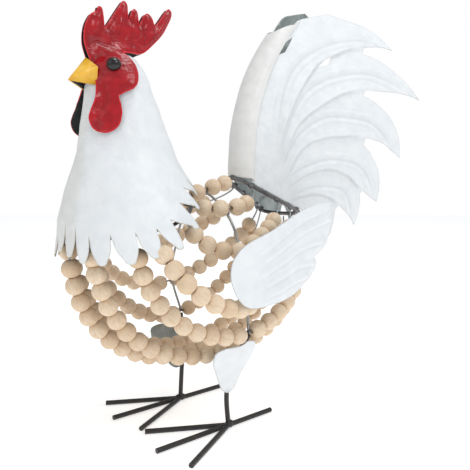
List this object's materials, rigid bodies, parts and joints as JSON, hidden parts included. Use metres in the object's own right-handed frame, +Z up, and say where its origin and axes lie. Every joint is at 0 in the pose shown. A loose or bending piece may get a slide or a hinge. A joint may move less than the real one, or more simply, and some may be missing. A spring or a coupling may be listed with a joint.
{
  "type": "rooster figurine",
  "caption": "Standing rooster figurine: painted sheet-metal head cape, comb mask, wing and sickle tail on an open body of threaded wooden bead strings, with bent rod legs and toes",
  "frame": {"origin": "on the floor under the middle of the whole figure's bounding box", "axes": "+Z up; the rooster faces -Y; its left side is +X"},
  "size_m": [0.1766, 0.3882, 0.418],
  "materials": {
    "white_paint": "satin white paint on hand-beaten sheet",
    "red_paint": "glossy red enamel",
    "yellow_paint": "satin yellow paint",
    "black_paint": "satin black paint",
    "black_glass": "glossy black cabochon",
    "grey_steel": "bare welded steel wire",
    "bead_wood": "matt unvarnished pale wood"
  },
  "bodies": {
    "root": {"neck_cape": "white_paint", "beak": "yellow_paint", "left_wing": "white_paint", "keel_bead_string": "bead_wood", "back_bead_string": "bead_wood", "tail_front_feather": "white_paint", "tail_base_ring": "grey_steel", "hem_ring": "grey_steel", "arch_rib": "grey_steel", "left_head_mask": "red_paint", "right_head_mask": "red_paint", "left_eye": "black_glass", "right_eye": "black_glass", "left_tail_plate": "white_paint", "right_tail_plate": "white_paint", "left_thigh_plate": "white_paint", "right_thigh_plate": "white_paint", "left_leg_rod": "black_paint", "right_leg_rod": "black_paint", "left_middle_and_back_toe": "black_paint", "right_middle_and_back_toe": "black_paint", "left_outer_toe": "black_paint", "right_outer_toe": "black_paint", "left_inner_toe": "black_paint", "right_inner_toe": "black_paint", "left_top_bead_string": "bead_wood", "right_top_bead_string": "bead_wood", "left_upper_bead_string": "bead_wood", "right_upper_bead_string": "bead_wood", "left_middle_bead_string": "bead_wood", "right_middle_bead_string": "bead_wood", "left_lower_bead_string": "bead_wood", "right_lower_bead_string": "bead_wood", "left_belly_bead_string": "bead_wood", "right_belly_bead_string": "bead_wood"}
  },
  "joints": []
}
